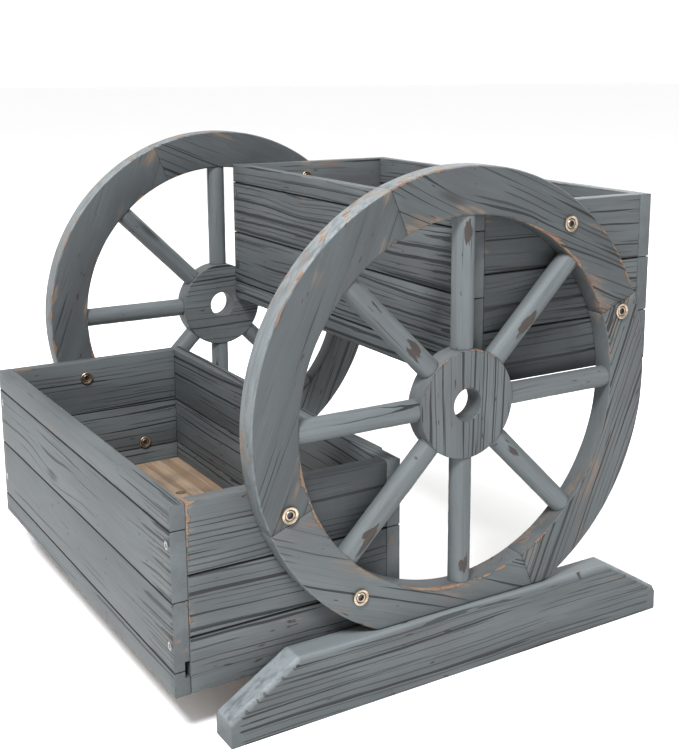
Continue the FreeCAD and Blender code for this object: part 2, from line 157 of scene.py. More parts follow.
class Finish:
    """A material and short ways of adding its nodes."""

    def __init__(self, name):
        self.material = bpy.data.materials.new(name)
        self.material.use_nodes = True
        self.nodes = self.material.node_tree.nodes
        self.links = self.material.node_tree.links
        self.shader = self.nodes["Principled BSDF"]

    def feed(self, socket, value):
        if isinstance(value, bpy.types.NodeSocket):
            self.links.new(value, socket)
        else:
            socket.default_value = value

    def attribute(self, name, output="Vector"):
        node = self.nodes.new("ShaderNodeAttribute")
        node.attribute_name = name
        return node.outputs[output]

    def split(self, vector):
        node = self.nodes.new("ShaderNodeSeparateXYZ")
        self.feed(node.inputs[0], vector)
        return node.outputs

    def join(self, x, y, z):
        node = self.nodes.new("ShaderNodeCombineXYZ")
        for socket, value in zip(node.inputs, (x, y, z)):
            self.feed(socket, value)
        return node.outputs[0]

    def sum(self, operation, *values):
        node = self.nodes.new("ShaderNodeMath")
        node.operation = operation
        for socket, value in zip(node.inputs, values):
            self.feed(socket, value)
        return node.outputs[0]

    def times(self, value, factor):
        return self.sum("MULTIPLY", value, factor)

    def vector(self, operation, *values):
        node = self.nodes.new("ShaderNodeVectorMath")
        node.operation = operation
        for socket, value in zip(node.inputs, values):
            self.feed(socket, value)
        return node.outputs[0]

    def stretched(self, vector, along, across):
        """Coordinates for marks that repeat so many times a metre along the grain and across it."""
        return self.vector("MULTIPLY", vector, (along, across, across))

    def noise(self, vector, detail=2.0, roughness=0.5, distortion=0.0, scale=1.0):
        node = self.nodes.new("ShaderNodeTexNoise")
        self.feed(node.inputs["Vector"], vector)
        self.feed(node.inputs["Scale"], scale)
        self.feed(node.inputs["Detail"], detail)
        self.feed(node.inputs["Roughness"], roughness)
        self.feed(node.inputs["Distortion"], distortion)
        return node.outputs["Fac"]

    def cells(self, vector, output="Distance"):
        node = self.nodes.new("ShaderNodeTexVoronoi")
        self.feed(node.inputs["Vector"], vector)
        self.feed(node.inputs["Scale"], 1.0)
        return node.outputs[output]

    def smooth(self, value, low, high, least=0.0, most=1.0):
        node = self.nodes.new("ShaderNodeMapRange")
        node.interpolation_type = "SMOOTHSTEP"
        for name, given in (("Value", value), ("From Min", low), ("From Max", high), ("To Min", least),
                            ("To Max", most)):
            self.feed(node.inputs[name], given)
        return node.outputs["Result"]

    def mix(self, amount, first, second, blend="MIX"):
        node = self.nodes.new("ShaderNodeMix")
        node.data_type = "RGBA"
        node.blend_type = blend
        self.feed(node.inputs[0], amount)
        self.feed(node.inputs[6], first if isinstance(first, bpy.types.NodeSocket) else (*first, 1))
        self.feed(node.inputs[7], second if isinstance(second, bpy.types.NodeSocket) else (*second, 1))
        return node.outputs[2]

    def bump(self, height, depth):
        node = self.nodes.new("ShaderNodeBump")
        self.feed(node.inputs["Height"], height)
        self.feed(node.inputs["Distance"], depth)
        self.feed(node.inputs["Strength"], 1.0)
        self.feed(self.shader.inputs["Normal"], node.outputs[0])


# Open grain: how far apart its lines lie, how thick they get, how often they break off, and a start.
BOLD_LINES = {"spacing": 8.5 * MM, "width": 0.90 * MM, "breaks": 3.6, "seed": 0.3}
THIN_LINES = {"spacing": 3.9 * MM, "width": 0.50 * MM, "breaks": 7.0, "seed": 5.1}
LINE_SOFTNESS = 0.14 * MM
THIN_LINE_STRENGTH = 0.7
RELIEF = 0.5 * MM


def grain_lines(finish, along, side, figure, spacing, width, breaks, seed):
    """Thin dark lines a set distance apart, each swelling and dying out along its length."""
    place = finish.sum("ADD", finish.sum("DIVIDE", side, spacing), seed)
    row = finish.sum("FLOOR", place)
    stray = finish.noise(finish.join(finish.times(along, 1.5), finish.times(row, 5.37), seed))
    centred = finish.sum("ADD", finish.sum("FRACT", place), finish.sum("MULTIPLY_ADD", stray, 1.5, -1.25))
    gap = finish.times(finish.sum("ABSOLUTE", centred), spacing)
    swell_place = finish.join(finish.times(along, breaks), finish.times(row, 7.71), seed + 3)
    swell = finish.noise(swell_place, detail=1.5, roughness=0.5)
    swell = finish.sum("MULTIPLY_ADD", figure, 0.34, swell)
    broad = finish.times(finish.sum("MULTIPLY_ADD", stray, 3.0, -0.6), width)
    own = finish.times(finish.smooth(swell, 0.62, 0.74), broad)
    return finish.smooth(finish.sum("SUBTRACT", own, gap), 0.0, LINE_SOFTNESS)


def open_grain(finish, grain, along, side, figure):
    """Long lines, a finer set between them, and a few heavy strokes."""
    patch = finish.noise(finish.stretched(grain, 4.0, 22.0), detail=1.0)
    busy = finish.sum("ADD", finish.sum("MULTIPLY_ADD", patch, 1.1, -0.55), figure)
    bold = grain_lines(finish, along, side, busy, **BOLD_LINES)
    thin = grain_lines(finish, along, side, busy, **THIN_LINES)
    stroke_place = finish.join(finish.times(along, 8.0), finish.times(side, 190.0), 0.0)
    stroke_limit = finish.sum("MULTIPLY_ADD", busy, -0.20, 0.84)
    strokes = finish.noise(stroke_place, detail=2.0, roughness=0.5)
    strokes = finish.smooth(finish.sum("SUBTRACT", strokes, stroke_limit), 0.0, 0.02)
    lines = finish.sum("MAXIMUM", bold, finish.times(thin, THIN_LINE_STRENGTH))
    return finish.sum("MAXIMUM", lines, strokes)


def knots_in(finish, grain):
    """How far the nearest place for a knot is, and 1 where it holds one. Few do."""
    place = finish.stretched(grain, 4.5, 14.0)
    pick = finish.split(finish.cells(place, "Color"))[0]
    return finish.cells(place), finish.smooth(pick, 0.76, 0.78)


def across_grain(finish, grain, knot_gap, is_knot):
    """The distance across the grain, which wanders, and flows round the knots."""
    _, across, deep = finish.split(grain)
    drift = finish.noise(finish.stretched(grain, 3.2, 9.0), detail=1.0)
    wobble = finish.noise(finish.stretched(grain, 22.0, 45.0), detail=2.0)
    round_knot = finish.times(finish.smooth(knot_gap, 0.5, 0.0), is_knot)
    sway = finish.sum("MULTIPLY_ADD", round_knot, 0.008, finish.times(drift, 0.013))
    sway = finish.sum("MULTIPLY_ADD", wobble, 0.0013, sway)
    return finish.sum("MULTIPLY_ADD", finish.sum("ADD", across, deep), 0.707, sway)


def arris_gap(finish):
    """How far a spot lies from the nearest arris: the second smallest of its distances to the faces."""
    reach = finish.vector("ABSOLUTE", finish.attribute("reach"))
    gap_x, gap_y, gap_z = finish.split(finish.vector("SUBTRACT", finish.attribute("half"), reach))
    smaller = finish.sum("MINIMUM", gap_x, gap_y)
    larger = finish.sum("MAXIMUM", gap_x, gap_y)
    return finish.sum("MAXIMUM", smaller, finish.sum("MINIMUM", larger, gap_z))


def chips_in(finish, along, side, deep, wear, rare):
    """Chips and pits through the paint, and the narrow shade round them."""
    chip_place = finish.join(finish.times(along, 26.0), finish.times(side, 120.0), finish.times(deep, 60.0))
    chip_noise = finish.noise(chip_place, detail=4.0, roughness=0.62)
    knocked = finish.sum("MAXIMUM", finish.sum("SUBTRACT", wear, 1.5), 0.0)
    limit = finish.sum("MULTIPLY_ADD", knocked, -0.18, 0.80)
    limit = finish.sum("SUBTRACT", limit, finish.sum("MULTIPLY_ADD", rare, 0.30, -0.15))
    chips = finish.smooth(chip_noise, limit, finish.sum("ADD", limit, 0.012))
    shade = finish.smooth(chip_noise, finish.sum("SUBTRACT", limit, 0.030), limit)
    pit_place = finish.join(finish.times(along, 60.0), finish.times(side, 300.0), 0.0)
    pits = finish.sum("MULTIPLY_ADD", rare, 0.30, finish.noise(pit_place, detail=1.0))
    chips = finish.sum("MAXIMUM", chips, finish.smooth(pits, 0.91, 0.93))
    shade = finish.sum("MAXIMUM", shade, finish.smooth(pits, 0.89, 0.91))
    return chips, shade


def bared(finish, grain, wear, pale, streak, pale_streak):
    """Bare wood: sanded arrises with their outline, streaks in the paler paint, and rubbed smudges."""
    arris = arris_gap(finish)
    broad = finish.noise(finish.stretched(grain, 9.0, 12.0), detail=2.0)
    width = finish.times(wear, finish.smooth(broad, 0.44, 0.68, 0.0, 1.4))
    bite = finish.sum("MULTIPLY_ADD", width, 0.0036, finish.sum("MULTIPLY_ADD", streak, 0.014, -0.0083))
    bite = finish.sum("SUBTRACT", bite, arris)
    sanded = finish.smooth(bite, 0.0, 0.9 * MM)
    outline = finish.sum("SUBTRACT", finish.smooth(bite, -1.0 * MM, 0.0), sanded)

    streak_limit = finish.sum("MULTIPLY_ADD", broad, -0.30, 0.73)
    streaks = finish.smooth(finish.sum("SUBTRACT", pale_streak, streak_limit), 0.0, 0.03)
    rubbed_through = finish.times(finish.smooth(pale, 0.25, 0.9), finish.smooth(wear, 0.40, 0.75))
    streaks = finish.times(rubbed_through, streaks)

    smudge = finish.noise(finish.stretched(grain, 8.0, 34.0), detail=4.0, roughness=0.68)
    rubbed = finish.sum("MULTIPLY_ADD", finish.sum("MINIMUM", wear, 1.2), 0.16, smudge)
    by_arris = finish.smooth(arris, 24 * MM, 4 * MM, 0.0, 0.62)
    rubbed = finish.times(finish.smooth(rubbed, 0.66, 0.78), by_arris)
    bare = finish.sum("MAXIMUM", finish.sum("MAXIMUM", sanded, streaks), rubbed)
    return bare, outline


def brushed_paint(finish, cloud, rare, pale, pale_streak, fibre):
    """The paint's colour: clouded, paler where sanded and where highlights are painted, darker where shadow
    is painted and on the top felloes, with fine brush marks.
    """
    paint = finish.mix(finish.smooth(cloud, 0.30, 0.70), PAINT_DARK, PAINT_LIGHT)
    paint = finish.mix(finish.smooth(rare, 0.56, 0.80, 0.0, 0.8), paint, PAINT_PURPLE)
    # Sanded paler paint, which on the runners and the tread's upper front is also painted highlight.
    worn_and_highlit_pale = finish.times(pale, finish.smooth(pale_streak, 0.30, 0.62, 0.25, 0.9))
    paint = finish.mix(worn_and_highlit_pale, paint, PAINT_SANDED_AND_HIGHLIT)
    # A negative pale darkens the paint: painted wheel shadow on the end walls, and the darker top felloes.
    shadow_and_darker = finish.sum("MAXIMUM", finish.times(pale, -0.92), 0.0)
    paint = finish.mix(shadow_and_darker, paint, PAINT_SHADOW_AND_DARKER)
    paint = finish.mix(finish.smooth(fibre, 0.42, 0.72, 0.0, 0.20), paint, PAINT_FIBRE)
    return finish.mix(finish.smooth(fibre, 0.46, 0.25, 0.0, 0.14), paint, PAINT_RUBBED)


def painted_wood():
    """Grey-blue paint brushed over softwood, with open grain, chips, and arrises sanded back to the wood."""
    finish = Finish("painted_wood")
    grain = finish.attribute("grain")
    along, _, deep = finish.split(grain)
    wear, joint_shade, figure = finish.split(finish.attribute("age"))
    pale = finish.attribute("pale", "Fac")
    joint_shade = finish.smooth(joint_shade, 0.2, 0.8)

    knot_gap, is_knot = knots_in(finish, grain)
    side = across_grain(finish, grain, knot_gap, is_knot)
    fibre_place = finish.join(finish.times(along, 9.0), finish.times(side, 900.0), finish.times(deep, 500.0))
    fibre = finish.noise(fibre_place, detail=3.0, roughness=0.6)
    ragged = finish.sum("MULTIPLY_ADD", fibre, 0.6 * MM, side)
    cracks = open_grain(finish, grain, along, ragged, figure)

    cloud = finish.noise(finish.stretched(grain, 5.0, 22.0), detail=4.0, roughness=0.6)
    rare = finish.noise(finish.stretched(grain, 6.0, 14.0), detail=1.0)
    streak = finish.noise(finish.stretched(grain, 20.0, 110.0), detail=4.0, roughness=0.62)
    pale_streak = finish.noise(finish.stretched(grain, 5.0, 130.0), detail=3.0, roughness=0.6)
    chips, chip_shade = chips_in(finish, along, side, deep, wear, rare)
    knots = finish.smooth(finish.sum("MULTIPLY_ADD", fibre, 0.10, knot_gap), 0.17, 0.10)
    knots = finish.times(knots, is_knot)
    bare, outline = bared(finish, grain, wear, pale, streak, pale_streak)

    paint = brushed_paint(finish, cloud, rare, pale, pale_streak, fibre)
    wood = finish.mix(finish.smooth(streak, 0.46, 0.60), WOOD_TAN, WOOD_ORANGE)
    wood = finish.mix(finish.smooth(fibre, 0.45, 0.72, 0.0, 0.6), wood, WOOD_DARK)
    chipped_wood = finish.mix(finish.smooth(fibre, 0.35, 0.65), CHIP_BROWN, CHIP_DARK)
    colour = finish.mix(bare, paint, wood)
    colour = finish.mix(finish.times(outline, 0.5), colour, CHIP_SHADE)
    colour = finish.mix(finish.times(chip_shade, 0.75), colour, CHIP_SHADE)
    colour = finish.mix(chips, colour, chipped_wood)
    colour = finish.mix(finish.times(knots, 0.85), colour, CHIP_SHADE)
    colour = finish.mix(finish.times(cracks, 0.92), colour, LINE_DARK)
    colour = finish.mix(joint_shade, colour, JOINT_SHADE)
    finish.feed(finish.shader.inputs["Base Color"], colour)

    rough = finish.sum("MULTIPLY_ADD", bare, 0.16, finish.sum("MULTIPLY_ADD", cloud, 0.16, 0.52))
    finish.feed(finish.shader.inputs["Roughness"], rough)
    finish.shader.inputs["Specular IOR Level"].default_value = 0.25

    hollow = finish.sum("MAXIMUM", cracks, finish.times(chips, 0.5))
    hollow = finish.sum("MAXIMUM", hollow, finish.times(bare, 0.22))
    height = finish.sum("MULTIPLY_ADD", hollow, -1.0, finish.times(fibre, 0.22))
    finish.bump(height, RELIEF)
    return finish.material


def bare_wood():
    """The floors: unpainted softwood, greyed and stained by wet soil."""
    finish = Finish("bare_wood")
    coordinates = finish.nodes.new("ShaderNodeTexCoord").outputs["Object"]
    rings = finish.noise(finish.stretched(coordinates, 4.0, 90.0), detail=3.0, distortion=0.4)
    fibre = finish.noise(finish.stretched(coordinates, 14.0, 700.0), detail=3.0)
    damp = finish.noise(finish.stretched(coordinates, 9.0, 12.0), detail=4.0, roughness=0.6)
    colour = finish.mix(finish.smooth(rings, 0.40, 0.62), FLOOR_PALE, FLOOR_RING)
    colour = finish.mix(finish.smooth(fibre, 0.45, 0.75, 0.0, 0.5), colour, FLOOR_FIBRE)
    colour = finish.mix(finish.smooth(damp, 0.45, 0.75, 0.0, 0.75), colour, FLOOR_DAMP)
    finish.feed(finish.shader.inputs["Base Color"], colour)
    finish.feed(finish.shader.inputs["Roughness"], finish.smooth(damp, 0.3, 0.8, 0.85, 0.6))
    finish.bump(finish.sum("ADD", rings, fibre), 0.3 * MM)
    return finish.material


def plated_metal(name, bright, dull, tarnish):
    """Plated steel, brushed by use and tarnished in its hollows, with painted shade where it meets the wood.
    """
    finish = Finish(name)
    coordinates = finish.nodes.new("ShaderNodeTexCoord").outputs["Object"]
    blotch = finish.noise(finish.stretched(coordinates, 180.0, 180.0), detail=4.0, roughness=0.65)
    speck = finish.noise(finish.stretched(coordinates, 1400.0, 1400.0), detail=2.0)
    colour = finish.mix(finish.smooth(blotch, 0.38, 0.66), bright, dull)
    colour = finish.mix(finish.smooth(speck, 0.62, 0.74, 0.0, 0.8), colour, tarnish)
    dirt_and_shade = finish.attribute("dirt_and_shade", "Fac")
    colour = finish.mix(finish.smooth(dirt_and_shade, 0.25, 0.85), colour, METAL_DIRT_AND_SHADE)
    finish.feed(finish.shader.inputs["Base Color"], colour)
    finish.feed(finish.shader.inputs["Metallic"], finish.smooth(dirt_and_shade, 0.85, 0.25))
    finish.feed(finish.shader.inputs["Roughness"], finish.smooth(blotch, 0.3, 0.7, 0.24, 0.42))
    finish.bump(speck, 0.05 * MM)
    return finish.material


def pale_floor():
    finish = Finish("pale_floor")
    coordinates = finish.nodes.new("ShaderNodeTexCoord").outputs["Object"]
    cloud = finish.noise(finish.stretched(coordinates, 3.0, 3.0), detail=3.0)
    finish.feed(finish.shader.inputs["Base Color"], finish.mix(cloud, *GROUND_TONES))
    finish.shader.inputs["Roughness"].default_value = 0.9
    return finish.material


PAINT = painted_wood()
BARE = bare_wood()
BRONZE = plated_metal("bronze_plate", *BRONZE_TONES)
ZINC = plated_metal("zinc_plate", *ZINC_TONES)


# ---------------------------------------------------------------- shaping


def piece(name, form, node, material):
    """Make an object of a finished form, in place of a CAD node."""
    mesh = bpy.data.meshes.new(name)
    form.to_mesh(mesh)
    form.free()
    item = bpy.data.objects.new(name, mesh)
    bpy.context.scene.collection.objects.link(item)
    mesh.materials.append(material)
    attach(item, "root")
    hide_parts(node)
    return item


def blank(middle, size):
    """A block to be shaped further."""
    form = bmesh.new()
    bmesh.ops.create_cube(form, size=1)
    bmesh.ops.scale(form, vec=size, verts=form.verts)
    bmesh.ops.translate(form, vec=middle, verts=form.verts)
    return form


def cut_flat(form, place, normal):
    """Take off all that lies past a plane, and close the cut."""
    bmesh.ops.bisect_plane(form, geom=form.verts[:] + form.edges[:] + form.faces[:], plane_co=place,
                           plane_no=normal, clear_outer=True)
    bmesh.ops.holes_fill(form, edges=form.edges, sides=0)


def bevel(form, edges, offset, segments=2):
    bmesh.ops.bevel(form, geom=edges, offset=offset, offset_type="OFFSET", segments=segments, profile=0.5,
                    affect="EDGES", material=-1, clamp_overlap=True)


def stations(form, along, low, high, step):
    """Cut a form across at even steps, so that it can be worn unevenly along its length."""
    count = max(1, round((high - low) / step))
    for index in range(1, count):
        place = along * (low + (high - low) * index / count)
        bmesh.ops.bisect_plane(form, geom=form.verts[:] + form.edges[:] + form.faces[:], plane_co=place,
                               plane_no=along)


def wear_down(form, centre, depth, scale=70.0):
    """Draw each point in a little towards the piece's middle line, unevenly, as sanding and knocks do."""
    for vert in form.verts:
        amount = 0.5 + 0.5 * noise.noise(vert.co * scale)
        inward = (centre(vert.co) - vert.co).normalized()
        vert.co += inward * (depth * amount)


def carved(form, cutter):
    """A form with a cutter's shape taken out of it. Both are used up."""
    items = []
    for name, shape in (("work", form), ("cutter", cutter)):
        mesh = bpy.data.meshes.new(name)
        shape.to_mesh(mesh)
        shape.free()
        item = bpy.data.objects.new(name, mesh)
        bpy.context.scene.collection.objects.link(item)
        items.append(item)
    work, tool = items
    recess = work.modifiers.new("recess", "BOOLEAN")
    recess.operation = "DIFFERENCE"
    recess.solver = "EXACT"
    recess.object = tool
    recess.use_self = True
    bpy.context.view_layer.update()
    result = bmesh.new()
    result.from_mesh(work.evaluated_get(bpy.context.evaluated_depsgraph_get()).to_mesh())
    for item in items:
        bpy.data.objects.remove(item)
    bmesh.ops.remove_doubles(result, verts=result.verts, dist=0.005 * MM)
    return result


def smooth_faces(form, flat_above=math.radians(50)):
    for face in form.faces:
        face.smooth = True
    for edge in form.edges:
        if edge.is_manifold and edge.calc_face_angle(0) > flat_above:
            edge.smooth = False


def mark_grain(form, name, grain_along, grain_across, place_of, age_of, pale_of=None):
    """Store what the paint reads: the grain's own coordinates, the distances to the arrises, and the age."""
    draws = random.Random(name)
    shift = Vector([draws.uniform(-2, 2) for _ in range(3)])
    grain_deep = grain_along.cross(grain_across)
    layers = form.verts.layers
    grain, reach, half, age = [layers.float_vector.new(key) for key in ("grain", "reach", "half", "age")]
    pale = layers.float.new("pale")
    for vert in form.verts:
        spot = vert.co
        vert[grain] = Vector((spot.dot(grain_along), spot.dot(grain_across), spot.dot(grain_deep))) + shift
        vert[reach], vert[half] = place_of(spot)
        vert[age] = age_of(spot)
        vert[pale] = pale_of(spot) if pale_of else 0.0


def near(value, target, width):
    """1 at a target, easing to 0 a width away."""
    return max(0.0, 1.0 - abs(value - target) / width)


# ---------------------------------------------------------------- boards


def board(name, outward, joints, age_of, pale_of=None):
    """A wall board. Its outer long edges are broken, and it butts its neighbours at the joints named."""
    low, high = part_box(name)
    middle, size = (low + high) / 2, high - low
    along = BACK if abs(outward.x) > 0.5 else RIGHT
    play = Vector((0.12, 0.12, 0.12)) * MM
    form = blank(middle, size - 2 * play)

    def long_and_outer(edge):
        direction = (edge.verts[1].co - edge.verts[0].co).normalized()
        spot = (edge.verts[0].co + edge.verts[1].co) / 2 - middle
        return abs(direction.dot(along)) > 0.9 and spot.dot(outward) > 0

    others = [edge for edge in form.edges if not long_and_outer(edge)]
    bevel(form, others, 0.7 * MM, 2)
    broken = [edge for edge in form.edges if long_and_outer(edge) and edge.calc_face_angle(0) > 1.0]
    bevel(form, broken, 1.5 * MM, 2)
    groove_low, groove_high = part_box(name.split("_")[0] + "_floor")
    if along == RIGHT and low.z < groove_high.z and high.z > groove_low.z:
        past_ends = 9 * MM
        groove_low.x, groove_high.x = low.x - past_ends, high.x + past_ends
        form = carved(form, blank((groove_low + groove_high) / 2, groove_high - groove_low))
    stations(form, along, low.dot(along), high.dot(along), 12 * MM)

    def spine(spot):
        return middle + along * (spot - middle).dot(along)

    wear_down(form, spine, 0.35 * MM)

    def place_of(spot):
        offset = spot - middle
        return (Vector((offset.dot(along), offset.z, offset.dot(outward))),
                Vector((size.dot(along), size.z, abs(size.dot(outward)))) / 2)

    def aged(spot):
        wear, figure = age_of(spot)
        if abs((spot - middle).dot(along)) > size.dot(along) / 2 - 0.6 * MM:
            return Vector((wear, 0.0, PLAIN))
        # Painted shade along the butting edges, standing in for the dark gap between boards.
        band = (0.98 if (spot - middle).dot(outward) > 0 else 0.55) * MM
        at_low = "low" in joints and spot.z < low.z + band
        at_high = "high" in joints and spot.z > high.z - band
        return Vector((wear, 1.0 if at_low or at_high else 0.0, figure))

    smooth_faces(form)
    mark_grain(form, name, along, UP, place_of, aged, pale_of)
    piece("painted_" + name, form, name, PAINT)


def slatted_box(box):
    """The walls of one box."""
    both = ("low", "high")
    front_rows = (("bottom", ("high",)), ("lower", both), ("upper", both), ("top", ("low",)))
    end_rows = (("bottom", ("high",)), ("middle", both), ("top", ("low",)))
    box_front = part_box(box + "_front_board_top")[0].y
    box_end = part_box(box + "_front_board_top")[1].x
    end_wear = {"bottom": 0.10, "middle": 0.75, "top": 1.10}
    figure = UPPER_FRONT_FIGURE if box == "upper" else LOWER_FRONT_FIGURE

    def painted_wheel_shadow(spot):
        """Painted shadow of the wheel: the end wall's paint is darkened where the wheel shades it, fading out
        behind the rim.
        """
        if abs(spot.x) < box_end - 3 * MM:
            return 0.0
        distance = math.hypot(spot.y - HUB_CENTRE.y, spot.z - HUB_CENTRE.z)
        return -min(1.0, max(0.0, RIM_INSIDE + 20 * MM - distance) / (45 * MM))

    for name, joints in front_rows:
        def front_age(spot, name=name):
            """Livelier grain, and more wear, round the screws at the right-hand end."""
            at_end = near(spot.x, box_end, 75 * MM)
            middling = name in ("upper", "lower")
            return 0.12 + 0.25 * at_end * middling, figure + (1.35 if middling else 0.5) * at_end

        board("%s_front_board_%s" % (box, name), -BACK, joints, front_age)
    for name, joints in end_rows:
        board("%s_rear_board_%s" % (box, name), BACK, joints, lambda spot: (0.2, REAR_FIGURE))

        def end_age(spot, name=name):
            return 0.12 + end_wear[name] * near(spot.y, box_front + 15 * MM, 25 * MM), END_WALL_FIGURE

        board("%s_right_end_board_%s" % (box, name), RIGHT, joints, end_age, painted_wheel_shadow)
        board("%s_left_end_board_%s" % (box, name), -RIGHT, joints, end_age, painted_wheel_shadow)


# ---------------------------------------------------------------- wheels


def out_from_hub(turn):
    return Vector((0, math.cos(turn), math.sin(turn)))


def wheel_middle(side):
    return middle_of(side + "_hub")


def felloe(side, index):
    """A quarter of the rim, cut from a board whose grain runs along its chord."""
    name = "%s_felloe_%s" % (side, FELLOES[index])
    centre = wheel_middle(side)
    start = FIRST_JOINT + index * FELLOE_TURN
    mid_turn = start + FELLOE_TURN / 2
    mid_radius = (WHEEL_RADIUS + RIM_INSIDE) / 2
    rim_width = WHEEL_RADIUS - RIM_INSIDE
    outward = out_from_hub(start)
    onward = out_from_hub(start + math.pi / 2)
    frame_of_end = Matrix((RIGHT * WHEEL_THICKNESS, outward * rim_width, onward)).transposed().to_4x4()
    frame_of_end.translation = centre + outward * mid_radius
    form = bmesh.new()
    bmesh.ops.create_grid(form, x_segments=1, y_segments=1, size=0.5, matrix=frame_of_end)
    bmesh.ops.spin(form, geom=form.verts[:] + form.edges[:] + form.faces[:], cent=centre, axis=RIGHT,
                   dvec=Vector(), angle=FELLOE_TURN, steps=44, use_duplicate=False)
    bmesh.ops.remove_doubles(form, verts=form.verts, dist=0.01 * MM)
    bmesh.ops.holes_fill(form, edges=form.edges, sides=0)
    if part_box(name)[0].z < RUNNER_TOP + 5 * MM:
        cut_flat(form, UP * (RUNNER_TOP + 0.1 * MM), -UP)
    bmesh.ops.recalc_face_normals(form, faces=form.faces)
    half_length = FELLOE_TURN / 2 * mid_radius

    def place_of(spot):
        offset = spot - centre
        turn = math.atan2(offset.z, offset.y)
        swing = (turn - mid_turn + math.pi) % math.tau - math.pi
        radius = math.hypot(offset.y, offset.z)
        return (Vector((swing * mid_radius, radius - mid_radius, offset.x)),
                Vector((half_length + 30 * MM, rim_width / 2, WHEEL_THICKNESS / 2)))

    def at_end(spot, within):
        return abs(place_of(spot)[0].x) > half_length - within

    def on_curve(spot):
        return abs(place_of(spot)[0].y) > rim_width / 2 - 0.7 * MM

    def sharp_edges(on_ends):
        return [edge for edge in form.edges if edge.is_manifold and edge.calc_face_angle(0) > math.radians(40)
                and all(at_end(vert.co, 0.05 * MM) for vert in edge.verts) == on_ends]

    bevel(form, sharp_edges(False), 1.8 * MM, 3)
    bevel(form, sharp_edges(True), 0.6 * MM, 1)

    def core(spot):
        turn = math.atan2(spot.z - centre.z, spot.y - centre.y)
        return centre + out_from_hub(turn) * mid_radius

    wear_down(form, core, 0.45 * MM, 45.0)

    def age_of(spot):
        at_joint = near(abs(place_of(spot)[0].x), half_length, 70 * MM)
        # Painted shade at the felloe ends, where they meet.
        joint_shade = 0.65 if at_end(spot, 0.45 * MM) else 0.0
        figure = FELLOE_FIGURE[index] + 0.22 * at_joint
        if abs(place_of(spot)[0].z) < WHEEL_THICKNESS / 2 - 1.2 * MM or on_curve(spot):
            figure = SMOOTH_FIGURE
        return Vector((0.80 + 0.15 * at_joint, joint_shade, figure))

    def pale_of(spot):
        """The tread is sanded pale, palest at the upper front, where it is partly a painted highlight. The
        faces of the top felloes are painted darker.
        """
        offset = spot - centre
        if math.hypot(offset.y, offset.z) < WHEEL_RADIUS - 1.2 * MM:
            return -0.46 if "top" in name else 0.0
        turn = math.atan2(offset.z, offset.y)
        return 0.30 + 0.70 * near(turn, math.radians(125), math.radians(60))

    smooth_faces(form)
    chord = out_from_hub(mid_turn + math.pi / 2)
    mark_grain(form, name, chord, out_from_hub(mid_turn), place_of, age_of, pale_of)
    piece("painted_" + name, form, name, PAINT)


def hub(side):
    """A turned disc with a plain bore."""
    name = side + "_hub"
    centre = wheel_middle(side)
    segments = 96
    form = bmesh.new()
    upright = Matrix.Translation(centre - RIGHT * WHEEL_THICKNESS / 2) @ Matrix.Rotation(math.pi / 2, 4, "Y")
    for radius in (HUB_RADIUS, HUB_BORE):
        bmesh.ops.create_circle(form, segments=segments, radius=radius, matrix=upright)
    ring = bmesh.ops.bridge_loops(form, edges=form.edges[:])["faces"]
    grown = bmesh.ops.extrude_face_region(form, geom=ring)["geom"]
    far_face = [item for item in grown if isinstance(item, bmesh.types.BMVert)]
    bmesh.ops.translate(form, vec=RIGHT * WHEEL_THICKNESS, verts=far_face)
    bmesh.ops.recalc_face_normals(form, faces=form.faces)
    sharp = [edge for edge in form.edges if edge.calc_face_angle(0) > math.radians(60)]
    bevel(form, sharp, 1.4 * MM, 3)
    mid_radius = (HUB_RADIUS + HUB_BORE) / 2

    def core(spot):
        turn = math.atan2(spot.z - centre.z, spot.y - centre.y)
        return centre + out_from_hub(turn) * mid_radius

    wear_down(form, core, 0.35 * MM, 60.0)

    def place_of(spot):
        offset = spot - centre
        radius = math.hypot(offset.y, offset.z)
        return (Vector((0, radius - mid_radius, offset.x)),
                Vector((1, (HUB_RADIUS - HUB_BORE) / 2, WHEEL_THICKNESS / 2)))

    def age_of(spot):
        top = near((spot - centre).z, HUB_RADIUS, HUB_RADIUS)
        on_curve = abs(place_of(spot)[0].y) > (HUB_RADIUS - HUB_BORE) / 2 - 0.6 * MM
        return Vector((0.15 + 0.5 * top, 0.0, SMOOTH_FIGURE if on_curve else HUB_FIGURE))

    smooth_faces(form)
    grain_along = UP if side == "right" else BACK
    mark_grain(form, name, grain_along, grain_along.cross(RIGHT), place_of, age_of)
    piece("painted_" + name, form, name, PAINT)


